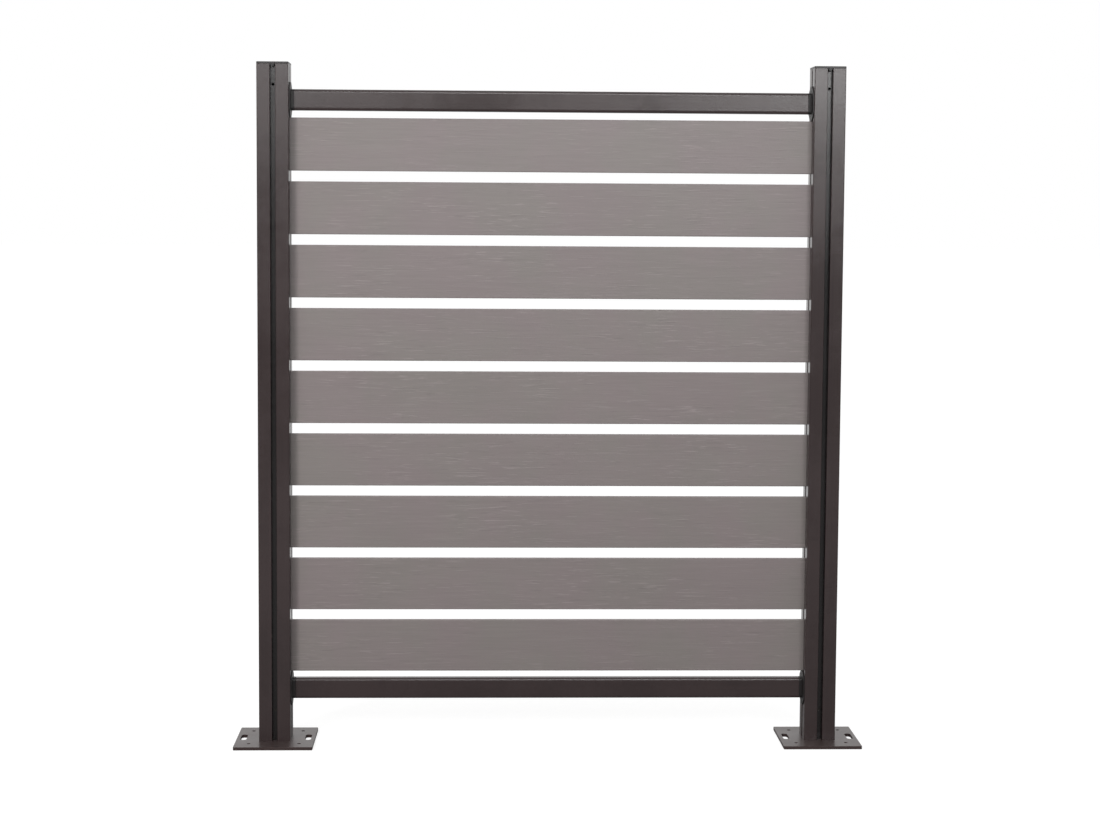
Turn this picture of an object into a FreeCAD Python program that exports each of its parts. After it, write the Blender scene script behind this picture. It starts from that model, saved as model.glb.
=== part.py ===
"""Garden privacy screen: nine slats between two grooved posts, with a rail above and below.

X runs across the screen, Y through it with the front at -Y, and Z up. The origin is on the floor,
midway between the posts. Sizes are in millimetres.
"""
import FreeCAD
import Part
import math
import os

from FreeCAD import Vector

# Panel of slats
slat_count = 9
slat_height = 100.0
slat_thickness = 8.5
slat_edge_radius = 1.5
slat_gap = 20.0
slat_play = 0.75             # slat's face to the groove's side
slat_end_play = 3.0          # slat's end to the groove's floor, for its growth in heat
clear_opening = 990.0        # from post to post

# Post extrusion
post_size = 60.0
post_wall = 2.0
post_corner_radius = 1.5
groove_depth = 12.0
groove_lip_bevel = 0.6
post_head = 46.0             # post above the top rail
rail_ground_gap = 78.0       # bottom rail above the base plate
head_hole_distance = 38.0    # from the holes in the front groove to the post's ends
foot_hole_distance = 58.0

# Post cap
cap_thickness = 4.0
cap_bevel = 0.8
cap_plug_height = 14.0
cap_plug_wall = 2.0
cap_play = 0.3
cap_tongue_drop = 5.0
cap_tongue_reach = 8.0
cap_tongue_tip = 3.0

# Base plate, with a stub that stands in the post's core
plate_size = 150.0
plate_thickness = 6.0
plate_corner_radius = 2.0
plate_hole_spacing = 96.0
plate_hole_bore = 7.0
plate_slot_width = 12.0
plate_slot_length = 40.0
plate_slot_margin = 7.0      # slot's side to the plate's edge
stub_height = 120.0
stub_wall = 3.0
stub_play = 0.3
stub_slot_play = 2.0         # stub's slot to the shank of the bracket's screw

# Rails
rail_height = 40.0
rail_depth = 20.0
rail_wall = 1.8
rail_corner_radius = 5.5

# Rail brackets
flange_thickness = 2.0
flange_inset = 3.0           # flange's side to the post's face
flange_corner_radius = 3.0
collar_length = 6.0
spigot_length = 24.0
spigot_wall = 2.0
spigot_lead = 1.2            # bevel at the spigot's end
rail_play = 0.3              # rail to the collar and to the spigot
tongue_play = 0.3            # bracket's tongue, or a spacer, to the groove
ear_side_margin = 6.0        # screw's head to the side of the ear's tip
ear_end_margin = 3.5         # screw's head to the collar, and to the end of the ear's tip

# Spacers between the slats
spacer_recess = 1.5          # spacer's face inside the post's face
spacer_wall = 1.8
spacer_bevel = 0.8

# Screws
stub_screw_shank = 5.0
stub_screw_length = 8.0
bracket_screw_shank = 4.0
bracket_screw_head = 6.0     # from flat to flat of the hexagon
bracket_screw_head_height = 2.6
bracket_screw_end = 4.0      # length past the groove's floor
thread_play = 0.1            # shank to the hole that it cuts its thread in
hole_play = 0.3              # shank to a hole that it only passes
socket_width = 2.5
socket_depth = 1.5
overrun = 1.0                # how far a cutting shape runs past the face that it opens

# Worked out from the sizes above
groove_width = slat_thickness + 2 * slat_play
groove_floor = post_size / 2 - groove_depth
core_half = groove_floor - post_wall
post_face = clear_opening / 2
post_centre = post_face + post_size / 2
bracket_half = rail_height / 2 + bracket_screw_head + 2 * ear_end_margin
ear_screw_offset = bracket_half - ear_end_margin - bracket_screw_head / 2
ear_screw_seat = post_size / 2 + flange_thickness - bracket_screw_head_height
bottom_rail_z = plate_thickness + rail_ground_gap + rail_height / 2
first_slat_z = bottom_rail_z + bracket_half
slat_pitch = slat_height + slat_gap
slat_lows = [first_slat_z + slat_pitch * number for number in range(slat_count)]
top_rail_z = slat_lows[-1] + slat_height + bracket_half
post_top = top_rail_z + rail_height / 2 + post_head
rail_levels = {"bottom": bottom_rail_z, "top": top_rail_z}
foot_hole_z = plate_thickness + foot_hole_distance
head_hole_z = post_top - head_hole_distance

origin = Vector(0, 0, 0)
along_x = Vector(1, 0, 0)
along_y = Vector(0, 1, 0)
along_z = Vector(0, 0, 1)


def box(x_range, y_range, z_range):
    """A box between the low and high value of each range."""
    low = Vector(x_range[0], y_range[0], z_range[0])
    return Part.makeBox(x_range[1] - low.x, y_range[1] - low.y, z_range[1] - low.z, low)


def about_zero(width):
    """The range of a width centred on zero."""
    return (-width / 2, width / 2)


def edges_along(solid, direction):
    """The straight edges of a solid that run along a direction."""
    straight = [edge for edge in solid.Edges if isinstance(edge.Curve, Part.Line)]
    return [edge for edge in straight if abs(edge.Curve.Direction.dot(direction)) > 0.999]


def upright_bar(width, depth, z_range, radius):
    """A bar along Z with rounded long edges."""
    solid = box(about_zero(width), about_zero(depth), z_range)
    return solid.makeFillet(radius, edges_along(solid, along_z))


def level_bar(x_range, depth, height, radius):
    """A bar along X with rounded long edges."""
    solid = box(x_range, about_zero(depth), about_zero(height))
    return solid.makeFillet(radius, edges_along(solid, along_x))


def square_tube(width, wall, z_range):
    """An upright square tube."""
    outer = box(about_zero(width), about_zero(width), z_range)
    inner = about_zero(width - 2 * wall)
    return outer.cut(box(inner, inner, z_range))


def rim(solid, direction):
    """The edges of the flat end of a solid that faces a direction."""
    farthest = max(solid.Faces, key=lambda face: face.CenterOfMass.dot(direction))
    return farthest.Edges


def rod(diameter, start, direction, length):
    """A cylinder from a start point along a direction."""
    return Part.makeCylinder(diameter / 2, length, Vector(*start), direction)


def on_four_faces(solid):
    """A solid made for the post's +X face, repeated on all four faces."""
    return [solid.rotated(origin, along_z, quarter * 90) for quarter in range(4)]


def on_front_face(solid):
    """A solid made for the post's +X face, turned to its front."""
    return solid.rotated(origin, along_z, -90)


def flat_piece(points, thickness_vector):
    """A flat piece with a straight-sided outline, given a thickness along a vector."""
    outline = Part.makePolygon([Vector(*point) for point in points + points[:1]])
    return Part.Face(outline).extrude(thickness_vector)


# Posts, caps and base plates: made about the post's axis, with the slats on the +X side

def groove_cutter():
    """The space of the groove in the post's +X face."""
    x_range = (groove_floor, post_size / 2 + overrun)
    return box(x_range, about_zero(groove_width), (plate_thickness, post_top))


def post_cavity():
    """The hollow inside the post: a square less the walls round the four grooves."""
    inside = about_zero(post_size - 2 * post_wall)
    z_range = (plate_thickness, post_top)
    housing = box((core_half, post_size / 2), about_zero(groove_width + 2 * post_wall), z_range)
    return box(inside, inside, z_range).cut(on_four_faces(housing))


def groove_lips(solid):
    """The edges of a post where its grooves meet its faces."""
    place = sorted((groove_width / 2, post_size / 2))
    lips = []
    for edge in edges_along(solid, along_z):
        across = sorted((abs(edge.CenterOfMass.x), abs(edge.CenterOfMass.y)))
        if math.dist(across, place) < groove_lip_bevel:
            lips.append(edge)
    return lips


def groove_floor_hole(shank, z):
    """A hole for a screw through the floor of the groove in the +X face."""
    start = (core_half - overrun, 0, z)
    return rod(shank + 2 * thread_play, start, along_x, post_wall + 2 * overrun)


def post():
    """The hollow extrusion with a groove in each face, drilled for its screws."""
    solid = upright_bar(post_size, post_size, (plate_thickness, post_top), post_corner_radius)
    solid = solid.cut(on_four_faces(groove_cutter()))
    solid = solid.makeChamfer(groove_lip_bevel, groove_lips(solid))
    holes = [groove_floor_hole(bracket_screw_shank, z + side * ear_screw_offset)
             for z in rail_levels.values() for side in (-1, 1)]
    holes += [on_front_face(groove_floor_hole(stub_screw_shank, z))
              for z in (foot_hole_z, head_hole_z)]
    return solid.cut([post_cavity()] + holes)


def cap():
    """The lid on the post: a plug in the core and a small tongue in each groove's mouth."""
    lid = box(about_zero(post_size), about_zero(post_size), (post_top, post_top + cap_thickness))
    lid = lid.makeChamfer(cap_bevel, edges_along(lid, along_z) + rim(lid, along_z))
    plug_width = 2 * (core_half - cap_play)
    plug = square_tube(plug_width, cap_plug_wall, (post_top - cap_plug_height, post_top))
    wide = groove_width / 2 - cap_play
    narrow = cap_tongue_tip / 2
    x = post_size / 2 - cap_tongue_reach
    low = post_top - cap_tongue_drop
    tongue = flat_piece([(x, -wide, post_top), (x, wide, post_top), (x, narrow, low), (x, -narrow, low)],
                        Vector(cap_tongue_reach - cap_play, 0, 0))
    return lid.fuse([plug] + on_four_faces(tongue)).removeSplitter()


def plate_slot():
    """The space of one slot, which runs from front to back."""
    x = plate_size / 2 - plate_slot_margin - plate_slot_width / 2
    half_run = (plate_slot_length - plate_slot_width) / 2
    slot = box((x - plate_slot_width / 2, x + plate_slot_width / 2), (-half_run, half_run),
               (0, plate_thickness))
    ends = [rod(plate_slot_width, (x, y, 0), along_z, plate_thickness) for y in (-half_run, half_run)]
    return slot.fuse(ends)


def base_plate():
    """The foot, with four bolt holes and a slot on each side."""
    plate = upright_bar(plate_size, plate_size, (0, plate_thickness), plate_corner_radius)
    offset = plate_hole_spacing / 2
    bolt_holes = [rod(plate_hole_bore, (x, y, 0), along_z, plate_thickness)
                  for x in (-offset, offset) for y in (-offset, offset)]
    return plate.cut(bolt_holes + [plate_slot(), plate_slot().rotated(origin, along_z, 180)])


def base_stub():
    """The tube on the plate that holds the post by its core, slotted for the bracket's screw."""
    stub_range = (plate_thickness, plate_thickness + stub_height)
    stub = square_tube(2 * (core_half - stub_play), stub_wall, stub_range)
    wall_start = core_half - stub_play - stub_wall
    slot = box((wall_start, core_half), about_zero(bracket_screw_shank + 2 * stub_slot_play), stub_range)
    hole = rod(stub_screw_shank + 2 * thread_play, (wall_start, 0, foot_hole_z), along_x, stub_wall)
    return stub.cut([slot, on_front_face(hole)])


# Screws: made along +Z with the head's seat, or a headless screw's face, at zero

def hexagon_radius(across):
    """The distance from the middle of a hexagon to a corner, given its width from flat to flat."""
    return across / math.sqrt(3)


def hexagon(across, low, high):
    """A hexagonal prism along Z, given its width from flat to flat."""
    radius = hexagon_radius(across)
    angles = [math.radians(60 * side) for side in range(6)]
    points = [(radius * math.cos(angle), radius * math.sin(angle), low) for angle in angles]
    return flat_piece(points, Vector(0, 0, high - low))


def driven(screw, place, direction):
    """A screw moved to its place, pointing along a direction."""
    moved = screw.copy()
    moved.Placement = FreeCAD.Placement(Vector(*place), FreeCAD.Rotation(along_z, direction))
    return moved


def stub_screw():
    """The headless screw in the front groove that clamps the post to its stub."""
    screw = rod(stub_screw_shank, (0, 0, 0), along_z, stub_screw_length)
    screw = screw.cut(hexagon(socket_width, 0, socket_depth))
    return driven(screw, (0, -groove_floor, foot_hole_z), along_y)


def bracket_screws(rail_z):
    """The screws through a bracket's two ears, whose tips are in the post's core."""
    top = -bracket_screw_head_height
    shank = rod(bracket_screw_shank, (0, 0, 0), along_z, ear_screw_seat - core_half + bracket_screw_end)
    head = hexagon(bracket_screw_head, top, 0)
    screw = shank.fuse(head).cut(hexagon(socket_width, top, top + socket_depth))
    return Part.makeCompound([driven(screw, (ear_screw_seat, 0, rail_z + side * ear_screw_offset), -along_x)
                              for side in (-1, 1)])


# Rail brackets and spacers: made about the post's axis, on its +X side

def flange():
    """The bracket's plate on the post's face: wide at the rail, narrow at the ears' tips."""
    wide = post_size / 2 - flange_inset
    narrow = bracket_screw_head / 2 + ear_side_margin
    shoulder = rail_height / 2
    x = post_size / 2
    upper = [(x, wide, shoulder), (x, narrow, bracket_half),
             (x, -narrow, bracket_half), (x, -wide, shoulder)]
    lower = [(x, -y, -z) for x, y, z in upper]
    solid = flat_piece(upper + lower, Vector(flange_thickness, 0, 0))
    return solid.makeFillet(flange_corner_radius, edges_along(solid, along_x))


def collar():
    """The block with the rail's outline, where the rail's end stops."""
    x_low = post_size / 2
    x_range = (x_low, x_low + flange_thickness + collar_length)
    return level_bar(x_range, rail_depth, rail_height, rail_corner_radius)


def spigot_bar(inset):
    """A bevelled bar from the flange to the spigot's end, this far inside the rail's hollow."""
    x_low = post_size / 2 + flange_thickness
    shrink = 2 * (rail_wall + inset)
    solid = box((x_low, x_low + collar_length + spigot_length), about_zero(rail_depth - shrink),
                about_zero(rail_height - shrink))
    return solid.makeChamfer(rail_corner_radius - rail_wall - rail_play, edges_along(solid, along_x))


def spigot():
    """The block inside the rail's end, with a bevelled rim that leads it in."""
    solid = spigot_bar(rail_play)
    return solid.makeChamfer(spigot_lead, rim(solid, along_x))


def spigot_pockets():
    """The two hollows of the spigot and the collar, either side of a level web."""
    hollow = spigot_bar(rail_play + spigot_wall)
    extent = hollow.BoundBox
    return hollow.cut(box((extent.XMin, extent.XMax), (extent.YMin, extent.YMax), about_zero(spigot_wall)))


def ear_recess(z):
    """The square hollow in an ear that takes the head of its screw, flush with the flange."""
    width = 2 * (hexagon_radius(bracket_screw_head) + hole_play)
    x_range = (ear_screw_seat, ear_screw_seat + bracket_screw_head_height + overrun)
    return box(x_range, about_zero(width), (z - width / 2, z + width / 2))


def rail_bracket():
    """The moulded shoe that holds a rail's end and stops the slats in the groove."""
    tongue_width = groove_width - 2 * tongue_play
    tongue = box((groove_floor + tongue_play, post_size / 2), about_zero(tongue_width),
                 (-bracket_half, bracket_half))
    shoe = flange().fuse([collar(), spigot(), tongue]).removeSplitter()
    cuts = [spigot_pockets()]
    for z in (-ear_screw_offset, ear_screw_offset):
        cuts.append(rod(bracket_screw_shank + 2 * hole_play, (groove_floor, 0, z), along_x, groove_depth))
        cuts.append(ear_recess(z))
    return shoe.cut(cuts)


def spacer():
    """The block that keeps two slats apart, hollow on the side of the groove's floor."""
    back = groove_floor + tongue_play
    front = post_size / 2 - spacer_recess
    width = groove_width - 2 * tongue_play
    solid = box((back, front), about_zero(width), (0, slat_gap))
    solid = solid.makeChamfer(spacer_bevel, edges_along(solid, along_z))
    pocket = box((back, front - spacer_wall), about_zero(width - 2 * spacer_wall),
                 (spacer_wall, slat_gap - spacer_wall))
    return solid.cut(pocket)


# Rails and slats: made about the middle of the screen

def rail():
    """A rectangular tube with rounded corners."""
    half = post_face - flange_thickness - collar_length - rail_play
    outer = level_bar((-half, half), rail_depth, rail_height, rail_corner_radius)
    inner = level_bar((-half, half), rail_depth - 2 * rail_wall, rail_height - 2 * rail_wall,
                      rail_corner_radius - rail_wall)
    return outer.cut(inner)


def slat():
    """A board with rounded long edges, whose ends reach into the posts' grooves."""
    half = post_face + groove_depth - slat_end_play
    return level_bar((-half, half), slat_thickness, slat_height, slat_edge_radius)


def raised(solid, z):
    """A copy of a solid, moved up."""
    return solid.translated(Vector(0, 0, z))


def left_side():
    """The pieces at the left post, by name, in place on the screen."""
    pieces = {
        "post": post(),
        "post_cap": cap(),
        "base_plate": base_plate(),
        "base_stub": base_stub(),
        "stub_screw": stub_screw(),
    }
    for level, z in rail_levels.items():
        pieces["rail_bracket_" + level] = raised(rail_bracket(), z)
        pieces["bracket_screws_" + level] = bracket_screws(z)
    for number, z in enumerate(slat_lows[:-1], start=1):
        pieces[f"groove_spacer_{number}"] = raised(spacer(), z + slat_height)
    move = Vector(-post_centre, 0, 0)
    return {name: piece.translated(move) for name, piece in pieces.items()}


def screen():
    """Every piece of the screen by name."""
    pieces = {}
    for name, piece in left_side().items():
        pieces[name + "_left"] = piece
        pieces[name + "_right"] = piece.mirror(origin, along_x)
    for level, z in rail_levels.items():
        pieces[level + "_rail"] = raised(rail(), z)
    for number, z in enumerate(slat_lows, start=1):
        pieces[f"slat_{number}"] = raised(slat(), z + slat_height / 2)
    return pieces


os.makedirs("parts", exist_ok=True)
for name, piece in screen().items():
    piece.exportStep(f"parts/{name}.step")
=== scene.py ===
"""Looks of the garden privacy screen: materials, studio, floor and camera. Lengths are in metres."""
import math
from collections import namedtuple

import bpy
from mathutils import Matrix, Vector

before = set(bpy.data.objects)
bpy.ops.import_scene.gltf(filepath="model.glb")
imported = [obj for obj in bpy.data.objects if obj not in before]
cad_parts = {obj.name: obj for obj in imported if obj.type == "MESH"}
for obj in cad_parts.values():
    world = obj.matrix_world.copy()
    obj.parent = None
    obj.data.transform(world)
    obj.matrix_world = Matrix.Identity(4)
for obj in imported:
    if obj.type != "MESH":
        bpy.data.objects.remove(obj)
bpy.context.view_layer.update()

# Camera: the picture is 1100 x 824 pixels, and the focal length is in its pixels
PICTURE_WIDTH = 1100
FOCAL_PIXELS = 2100
CAMERA_PLACE = (-0.1319, -4.0047, 1.050)
CAMERA_YAW = math.radians(1.88)
CAMERA_PITCH = math.radians(4.50)
CAMERA_ROLL = math.radians(0.38)
CAMERA_SHIFT_Y = -0.045
SENSOR_WIDTH = 36.0

# Posts, for the painted shade in their grooves and on the tongues of their caps
POST_CENTRE = 0.525
POST_HALF = 0.030
POST_TOP = 1.296
GROOVE_SHADE_START = 0.0005     # depth below the post's face
GROOVE_SHADE_FULL = 0.006
TONGUE_SHADE_BLUR = 0.0004      # either side of the post's top

# Studio: levels of the world's light, and the parts of its direction where they fade in
FRONT_LEVEL = 0.06
BEHIND_LEVEL = 1.0
TOP_LEVEL = 1.0
BEHIND_RANGE = (-0.10, 0.35)
ABOVE_RANGE = (0.35, 0.95)

# Floor, and how far behind the screen its glow starts and is full in glossy reflections
FLOOR_REACH = 40
FLOOR_GLOW = 0.75
FLOOR_GLOW_RANGE = (0.3, 0.9)
FLOOR_COLOUR = (0.35, 0.35, 0.35, 1)

# Place, size and power of each soft box, and whether it serves matt colour, gloss or all
LIGHT_TARGET = (0, 0, 0.9)
LIGHTS = {
    "front_right": ((1.35, -3.9, 1.85), (1.3, 0.7), 44, "all"),
    "front_left": ((-1.3, -3.9, 1.75), (1.3, 0.7), 19, "all"),
    "front_top": ((0, -3.9, 2.45), (1.3, 0.7), 48, "gloss"),
    "side_left": ((-2.3, -3.5, 2.4), (1.1, 1.4), 105, "matt"),
}

# All materials. A noise is its features per metre along x, y and z, and its detail. A tone is a factor on
# the base colour.
NOISE_RANGE = (0.3, 0.7)        # where nearly all noise lies
EDGE_RANGE = (0.995, 0.85)      # rounded normal times flat normal, where the edge mask starts and is full
EDGE_SAMPLES = 4
FINE_RELIEF = 0.0001
WHITE = (1, 1, 1, 1)

# Powder coat
COAT_CLOUDS = ((7, 7, 7), 4)
COAT_PEEL = ((1100, 1100, 1100), 2)
COAT_MOTTLE = 0.12
COAT_LINE_RANGE = (0.35, 0.65)
COAT_LINE_AMOUNT = 0.25
COAT_LINE_TONE = 1.3
COAT_LINE_HEIGHT = 0.35
COAT_EDGE = 0.0009
# Painted highlight: the coat's edges are brought towards twice its colour
COAT_PAINTED_HIGHLIGHT_AMOUNT = 0.5
COAT_PAINTED_HIGHLIGHT_TONE = 2.0
COAT_SHADE_TONE = 0.25
COAT_ROUGHNESS_SPREAD = 0.03
COAT_BUMP = 0.25
COAT_SPECULAR = 0.5

# Moulded plastic
PLASTIC_CLOUDS = ((30, 30, 30), 3)
PLASTIC_TEXTURE = ((1800, 1800, 1800), 2)
PLASTIC_MOTTLE = 0.1
PLASTIC_EDGE = 0.0006
# Painted highlight: the plastic's edges are brought towards 1.8 times its colour
PLASTIC_PAINTED_HIGHLIGHT_AMOUNT = 0.4
PLASTIC_PAINTED_HIGHLIGHT_TONE = 1.8
PLASTIC_ROUGHNESS_SPREAD = 0.05
PLASTIC_BUMP = 0.3
PLASTIC_SPECULAR = 0.4

# Bare steel
STEEL_CLOUDS = ((60, 60, 60), 3)
STEEL_BRUSHING = ((900, 900, 60), 3)
STEEL_MOTTLE = 0.15
STEEL_ROUGHNESS_SPREAD = 0.08
STEEL_BUMP = 0.2

# Slats' composite. Each layer is a noise, the range of it that becomes a mask, and how strongly the mask
# brings in a tone. A patchy layer shows only in the patches.
Layer = namedtuple("Layer", "features detail roughness shift low high amount tone patchy")
SLAT_LAYERS = {
    "cloud": Layer((5, 5, 9), 3, 0.5, (0, 0, 0), 0.3, 0.7, 0.10, 0.70, False),
    "fibres": Layer((22, 300, 1300), 3, 0.65, (0, 0, 0), 0.3, 0.7, 0.22, 0.75, False),
    "wide_fibres": Layer((9, 60, 260), 2, 0.5, (2, 6, 1), 0.35, 0.7, 0.12, 1.30, False),
    "streaks": Layer((24, 60, 420), 2, 0.6, (3, 1, 7), 0.58, 0.68, 0.46, 1.40, True),
    "dark_streaks": Layer((20, 60, 380), 2, 0.6, (9, 4, 2), 0.60, 0.72, 0.34, 0.60, True),
    "smudges": Layer((13, 6, 30), 2, 0.5, (8, 3, 6), 0.72, 0.80, 0.18, 0.55, False),
}
HUE_NOISE = ((7, 5, 5), 3, 0.6, (5, 2, 4))
HUE_RANGE = (0.35, 0.65)
PINKISH = (1.02, 0.985, 1.0)
GREENISH = (0.98, 1.015, 0.975)
PATCH_NOISE = ((5, 6, 12), 2, 0.5, (1, 2, 3))
PATCH_RANGE = (0.40, 0.60)
SLAT_EDGE = 0.0012
SLAT_EDGE_AMOUNT = 0.5
SLAT_EDGE_TINT = (0.66, 0.72, 0.66)
SLAT_ROUGHNESS_RANGE = (0.38, 0.48)
SLAT_STREAK_HEIGHT = 0.8
SLAT_RELIEF = 0.0003
SLAT_BUMP = 0.35
SLAT_SPECULAR = 0.5

# Colour and roughness of the finishes. The slats' roughness is above.
COAT = ((0.031, 0.0200, 0.0200), 0.27)
CAP_COAT = ((0.018, 0.016, 0.016), 0.42)
PLATE_COAT = ((0.040, 0.0265, 0.0255), 0.33)
PLATED_STEEL = ((0.45, 0.45, 0.44), 0.42)
BLACKENED_STEEL = ((0.06, 0.055, 0.05), 0.4)
BRACKET_PLASTIC = ((0.014, 0.012, 0.012), 0.5)
SPACER_PLASTIC = ((0.013, 0.012, 0.012), 0.55)
SLAT_COLOUR = (0.210, 0.182, 0.179)
PLATE_TINT = (1.0, 0.92, 0.90, 1)

# Noise of the coats' faint lines: without a direction, or along upright or level pieces
NO_GRAIN = ((40, 40, 40), 2)
UPRIGHT_GRAIN = ((300, 300, 1.5), 2)
LEVEL_GRAIN = ((1.5, 300, 300), 2)


# Node helpers

def put(tree, socket, value):
    """Links another socket to a socket, or gives it a constant."""
    if isinstance(value, bpy.types.NodeSocket):
        tree.links.new(value, socket)
    else:
        socket.default_value = value


def node(tree, kind, inputs=None, **settings):
    """Adds a shader node, sets its properties, and fills or links its inputs."""
    made = tree.nodes.new("ShaderNode" + kind)
    for name, value in settings.items():
        setattr(made, name, value)
    for name, value in (inputs or {}).items():
        put(tree, made.inputs[name], value)
    return made


def maths(tree, operation, *values):
    """The result of a sum on numbers or sockets."""
    return node(tree, "Math", dict(enumerate(values)), operation=operation).outputs[0]


def spread(tree, value, low, high, to_low=0.0, to_high=1.0):
    """A value moved smoothly from one range to another."""
    inputs = {"Value": value, "From Min": low, "From Max": high, "To Min": to_low, "To Max": to_high}
    return node(tree, "MapRange", inputs, interpolation_type="SMOOTHSTEP").outputs["Result"]


def around(tree, value, middle, half_range):
    """A noise moved to a range about a middle."""
    return spread(tree, value, *NOISE_RANGE, middle - half_range, middle + half_range)


def noise(tree, features, detail, roughness=0.5, shift=(0, 0, 0)):
    """Noise with its own number of features per metre along each axis."""
    place = node(tree, "TexCoord").outputs["Object"]
    mapped = node(tree, "Mapping", {"Vector": place, "Scale": features, "Location": shift})
    inputs = {"Vector": mapped.outputs["Vector"], "Scale": 1.0, "Detail": detail, "Roughness": roughness}
    return node(tree, "TexNoise", inputs).outputs["Fac"]


def blend(tree, amount, first, second):
    """A mix of two colours."""
    mixed = node(tree, "Mix", data_type="RGBA")
    for index, value in ((0, amount), (6, first), (7, second)):    # the factor and the two colours
        put(tree, mixed.inputs[index], value)
    return mixed.outputs[2]


def scaled(colour, factor):
    """A colour made lighter or darker."""
    return tuple(part * factor for part in colour) + (1,)


def tinted(colour, factors):
    """A colour with each of its parts scaled."""
    return tuple(part * factor for part, factor in zip(colour, factors)) + (1,)


def toned(tree, base, mask, amount, colour):
    """A base colour with another colour brought in where a mask says."""
    return blend(tree, maths(tree, "MULTIPLY", mask, amount), base, colour)


def mottled(tree, colour, cloud, contrast):
    """A colour that gets a little darker and lighter in soft clouds."""
    return blend(tree, cloud, scaled(colour, 1 - contrast), scaled(colour, 1 + contrast))


def relief(tree, strength, distance, height, **normal):
    """The normal of a surface with a fine relief."""
    inputs = {"Strength": strength, "Distance": distance, "Height": height, **normal}
    return node(tree, "Bump", inputs).outputs["Normal"]


def edge_mask(tree, radius):
    """A mask of the narrow band along sharp edges, and the normal that rounds them."""
    rounded = node(tree, "Bevel", {"Radius": radius}, samples=EDGE_SAMPLES).outputs["Normal"]
    flat = node(tree, "NewGeometry").outputs["Normal"]
    facing = node(tree, "VectorMath", {0: rounded, 1: flat}, operation="DOT_PRODUCT").outputs["Value"]
    return spread(tree, facing, *EDGE_RANGE), rounded


def axis(tree, name):
    """The place of a point along one axis."""
    return node(tree, "SeparateXYZ", {0: node(tree, "TexCoord").outputs["Object"]}).outputs[name]


def new_material(name):
    """A node material with its principled shader."""
    material = bpy.data.materials.new(name)
    material.use_nodes = True
    tree = material.node_tree
    return material, tree, tree.nodes["Principled BSDF"]


def fill(tree, shader, **inputs):
    """Fills or links the sockets of a shader."""
    for name, value in inputs.items():
        put(tree, shader.inputs[name.replace("_", " ")], value)


# Painted shade

def painted_tongue_shade(tree):
    """Painted shade: a mask of what hangs below the lid of a cap."""
    return spread(tree, axis(tree, "Z"), POST_TOP + TONGUE_SHADE_BLUR, POST_TOP - TONGUE_SHADE_BLUR)


def painted_groove_shade(tree):
    """Painted shade: a mask that grows with the depth inside the grooves of either post."""
    from_centre = maths(tree, "SUBTRACT", maths(tree, "ABSOLUTE", axis(tree, "X")), POST_CENTRE)
    across = maths(tree, "ABSOLUTE", from_centre)
    outward = maths(tree, "MAXIMUM", across, maths(tree, "ABSOLUTE", axis(tree, "Y")))
    return spread(tree, outward, POST_HALF - GROOVE_SHADE_START, POST_HALF - GROOVE_SHADE_FULL)


# Materials

def coated(name, colour, roughness, grain, tint=WHITE, shade=None):
    """A powder coat: fine peel, faint lines along the piece, soft mottling, a painted highlight along its
    edges and, where a mask is given, painted shade.
    """
    material, tree, shader = new_material(name)
    cloud = spread(tree, noise(tree, *COAT_CLOUDS), *NOISE_RANGE)
    lines = spread(tree, noise(tree, *grain), *COAT_LINE_RANGE)
    peel = noise(tree, *COAT_PEEL)
    mask, rounded = edge_mask(tree, COAT_EDGE)
    base = mottled(tree, colour, cloud, COAT_MOTTLE)
    base = toned(tree, base, lines, COAT_LINE_AMOUNT, scaled(colour, COAT_LINE_TONE))
    # Painted highlight along the edges
    base = toned(tree, base, mask, COAT_PAINTED_HIGHLIGHT_AMOUNT, scaled(colour, COAT_PAINTED_HIGHLIGHT_TONE))
    # Painted shade: where a mask is given (the posts' grooves, the caps' tongues), the base colour darkens
    # to a quarter of itself
    if shade:
        base = blend(tree, shade(tree), base, scaled(colour, COAT_SHADE_TONE))
    cloudy = spread(tree, cloud, 0, 1, roughness - COAT_ROUGHNESS_SPREAD, roughness + COAT_ROUGHNESS_SPREAD)
    gloss = maths(tree, "ADD", cloudy, around(tree, peel, 0, COAT_ROUGHNESS_SPREAD))
    height = maths(tree, "ADD", maths(tree, "MULTIPLY", lines, COAT_LINE_HEIGHT), peel)
    normal = relief(tree, COAT_BUMP, FINE_RELIEF, height, Normal=rounded)
    fill(tree, shader, Base_Color=base, Roughness=gloss, Normal=normal)
    fill(tree, shader, Specular_IOR_Level=COAT_SPECULAR, Specular_Tint=tint)
    return material


def composite(name, colour):
    """The slats' composite: fibres, streaks, pinkish and greenish patches, smudges and darker edges."""
    material, tree, shader = new_material(name)
    hue = spread(tree, noise(tree, *HUE_NOISE), *HUE_RANGE)
    patches = spread(tree, noise(tree, *PATCH_NOISE), *PATCH_RANGE)
    base = blend(tree, hue, tinted(colour, PINKISH), tinted(colour, GREENISH))
    grains = {}
    masks = {}
    for kind, layer in SLAT_LAYERS.items():
        grains[kind] = noise(tree, layer.features, layer.detail, layer.roughness, layer.shift)
        masks[kind] = spread(tree, grains[kind], layer.low, layer.high)
        shown = maths(tree, "MULTIPLY", masks[kind], patches) if layer.patchy else masks[kind]
        base = toned(tree, base, shown, layer.amount, scaled(colour, layer.tone))
    mask, rounded = edge_mask(tree, SLAT_EDGE)
    base = toned(tree, base, mask, SLAT_EDGE_AMOUNT, tinted(colour, SLAT_EDGE_TINT))
    gloss = spread(tree, grains["fibres"], *NOISE_RANGE, *SLAT_ROUGHNESS_RANGE)
    raised = maths(tree, "MULTIPLY", masks["streaks"], SLAT_STREAK_HEIGHT)
    height = maths(tree, "ADD", grains["fibres"], raised)
    normal = relief(tree, SLAT_BUMP, SLAT_RELIEF, height, Normal=rounded)
    fill(tree, shader, Base_Color=base, Roughness=gloss, Normal=normal)
    fill(tree, shader, Specular_IOR_Level=SLAT_SPECULAR)
    return material


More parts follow.
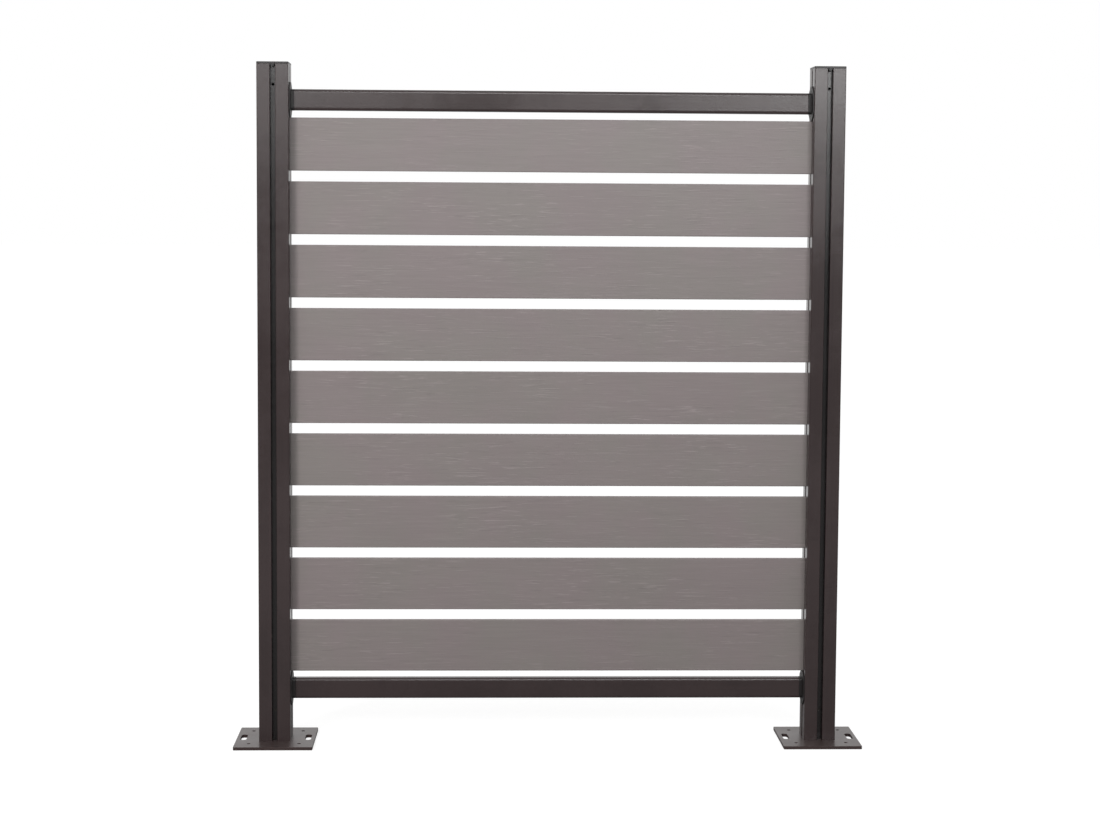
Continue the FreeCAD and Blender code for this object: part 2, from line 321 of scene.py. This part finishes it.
def moulded(name, colour, roughness):
    """Moulded plastic with a fine spark-eroded texture and a painted highlight along its edges."""
    material, tree, shader = new_material(name)
    cloud = spread(tree, noise(tree, *PLASTIC_CLOUDS), *NOISE_RANGE)
    texture = noise(tree, *PLASTIC_TEXTURE)
    mask, rounded = edge_mask(tree, PLASTIC_EDGE)
    base = mottled(tree, colour, cloud, PLASTIC_MOTTLE)
    # Painted highlight along the edges
    base = toned(tree, base, mask, PLASTIC_PAINTED_HIGHLIGHT_AMOUNT, scaled(colour, PLASTIC_PAINTED_HIGHLIGHT_TONE))
    gloss = around(tree, texture, roughness, PLASTIC_ROUGHNESS_SPREAD)
    normal = relief(tree, PLASTIC_BUMP, FINE_RELIEF, texture, Normal=rounded)
    fill(tree, shader, Base_Color=base, Roughness=gloss, Normal=normal)
    fill(tree, shader, Specular_IOR_Level=PLASTIC_SPECULAR)
    return material


def bare_metal(name, colour, roughness):
    """Plated or blackened steel with brushed marks."""
    material, tree, shader = new_material(name)
    brushed = noise(tree, *STEEL_BRUSHING)
    cloud = spread(tree, noise(tree, *STEEL_CLOUDS), *NOISE_RANGE)
    base = mottled(tree, colour, cloud, STEEL_MOTTLE)
    gloss = around(tree, brushed, roughness, STEEL_ROUGHNESS_SPREAD)
    normal = relief(tree, STEEL_BUMP, FINE_RELIEF, brushed)
    fill(tree, shader, Base_Color=base, Roughness=gloss, Normal=normal)
    fill(tree, shader, Metallic=1.0)
    return material


def dress_nodes():
    """Gives each CAD piece the first finish whose key starts its name."""
    rail_coat = coated("rail_coat", *COAT, LEVEL_GRAIN)
    blackened_steel = bare_metal("blackened_steel", *BLACKENED_STEEL)
    finishes = {
        # The caps' coat gets painted shade on the tongues below their lids
        "post_cap_": coated("cap_coat", *CAP_COAT, NO_GRAIN, shade=painted_tongue_shade),
        # The posts' coat gets painted shade deep in its grooves
        "post_": coated("post_coat", *COAT, UPRIGHT_GRAIN, shade=painted_groove_shade),
        "top_rail": rail_coat,
        "bottom_rail": rail_coat,
        "base_plate_": coated("plate_coat", *PLATE_COAT, NO_GRAIN, tint=PLATE_TINT),
        "base_stub_": bare_metal("plated_steel", *PLATED_STEEL),
        "stub_screw_": blackened_steel,
        "bracket_screws_": blackened_steel,
        "rail_bracket_": moulded("bracket_plastic", *BRACKET_PLASTIC),
        "groove_spacer_": moulded("spacer_plastic", *SPACER_PLASTIC),
        "slat_": composite("slat_composite", SLAT_COLOUR),
    }
    for name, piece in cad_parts.items():
        finish = next(material for start, material in finishes.items() if name.startswith(start))
        for slot in piece.material_slots:
            slot.material = finish


# Floor and studio

def full_when_seen(tree, level):
    """A level that is at least 1 to the camera and through glass."""
    path = node(tree, "LightPath").outputs
    level = maths(tree, "MAXIMUM", level, path["Is Camera Ray"])
    return maths(tree, "MAXIMUM", level, path["Is Transmission Ray"])


def floor():
    """A wide grey floor whose glow makes it near white to the camera, with the shadow still on it."""
    mesh = bpy.data.meshes.new("floor")
    corners = [(-1, -1), (1, -1), (1, 1), (-1, 1)]
    mesh.from_pydata([(x * FLOOR_REACH, y * FLOOR_REACH, 0) for x, y in corners], [], [(0, 1, 2, 3)])
    piece = bpy.data.objects.new("floor", mesh)
    bpy.context.scene.collection.objects.link(piece)
    material = bpy.data.materials.new("floor")
    material.use_nodes = True
    tree = material.node_tree
    tree.nodes.clear()
    y = node(tree, "SeparateXYZ", {0: node(tree, "NewGeometry").outputs["Position"]}).outputs["Y"]
    glossy = node(tree, "LightPath").outputs["Is Glossy Ray"]
    seen = full_when_seen(tree, maths(tree, "MULTIPLY", glossy, spread(tree, y, *FLOOR_GLOW_RANGE)))
    diffuse = node(tree, "BsdfDiffuse", {"Color": FLOOR_COLOUR}).outputs[0]
    glow = node(tree, "Emission", {"Strength": maths(tree, "MULTIPLY", seen, FLOOR_GLOW)}).outputs[0]
    total = node(tree, "AddShader", {0: diffuse, 1: glow}).outputs[0]
    node(tree, "OutputMaterial", {"Surface": total})
    mesh.materials.append(material)
    return piece


def studio_world():
    """White behind and above the screen, dim in front of it, and white wherever the camera sees it."""
    world = bpy.data.worlds.new("studio")
    world.use_nodes = True
    tree = world.node_tree
    tree.nodes.clear()
    direction = node(tree, "TexCoord").outputs["Generated"]
    axes = node(tree, "SeparateXYZ", {0: direction}).outputs
    behind = spread(tree, axes["Y"], *BEHIND_RANGE, FRONT_LEVEL, BEHIND_LEVEL)
    above = spread(tree, axes["Z"], *ABOVE_RANGE, 0.0, TOP_LEVEL)
    level = full_when_seen(tree, maths(tree, "MAXIMUM", behind, above))
    background = node(tree, "Background", {"Color": WHITE, "Strength": level}).outputs[0]
    node(tree, "OutputWorld", {"Surface": background})
    bpy.context.scene.world = world


def soft_boxes():
    """The soft boxes in front of the screen, each hidden from what it doesn't serve."""
    for name, (place, size, power, serves) in LIGHTS.items():
        light = bpy.data.lights.new(name, "AREA")
        light.shape = "RECTANGLE"
        light.size, light.size_y = size
        light.energy = power
        piece = bpy.data.objects.new(name, light)
        bpy.context.scene.collection.objects.link(piece)
        piece.location = place
        piece.rotation_euler = (Vector(LIGHT_TARGET) - Vector(place)).to_track_quat("-Z", "Y").to_euler()
        piece.visible_camera = False
        piece.visible_glossy = serves != "matt"
        piece.visible_diffuse = serves != "gloss"


def camera():
    """The camera, from its place and its turn, tilt and roll."""
    forward = Vector((math.sin(CAMERA_YAW) * math.cos(CAMERA_PITCH),
                      math.cos(CAMERA_YAW) * math.cos(CAMERA_PITCH), -math.sin(CAMERA_PITCH)))
    right = Vector((math.cos(CAMERA_YAW), -math.sin(CAMERA_YAW), 0))
    up = right.cross(forward)
    rolled_right = right * math.cos(CAMERA_ROLL) + up * math.sin(CAMERA_ROLL)
    rolled_up = rolled_right.cross(forward)
    lens = bpy.data.cameras.new("camera")
    lens.sensor_width = SENSOR_WIDTH
    lens.lens = FOCAL_PIXELS * SENSOR_WIDTH / PICTURE_WIDTH
    lens.shift_y = CAMERA_SHIFT_Y
    piece = bpy.data.objects.new("camera", lens)
    turn = Matrix((rolled_right, rolled_up, -forward)).transposed()
    piece.matrix_world = Matrix.Translation(CAMERA_PLACE) @ turn.to_4x4()
    bpy.context.scene.collection.objects.link(piece)
    bpy.context.scene.camera = piece


dress_nodes()
floor()
studio_world()
soft_boxes()
camera()
bpy.context.scene.view_settings.view_transform = "Standard"
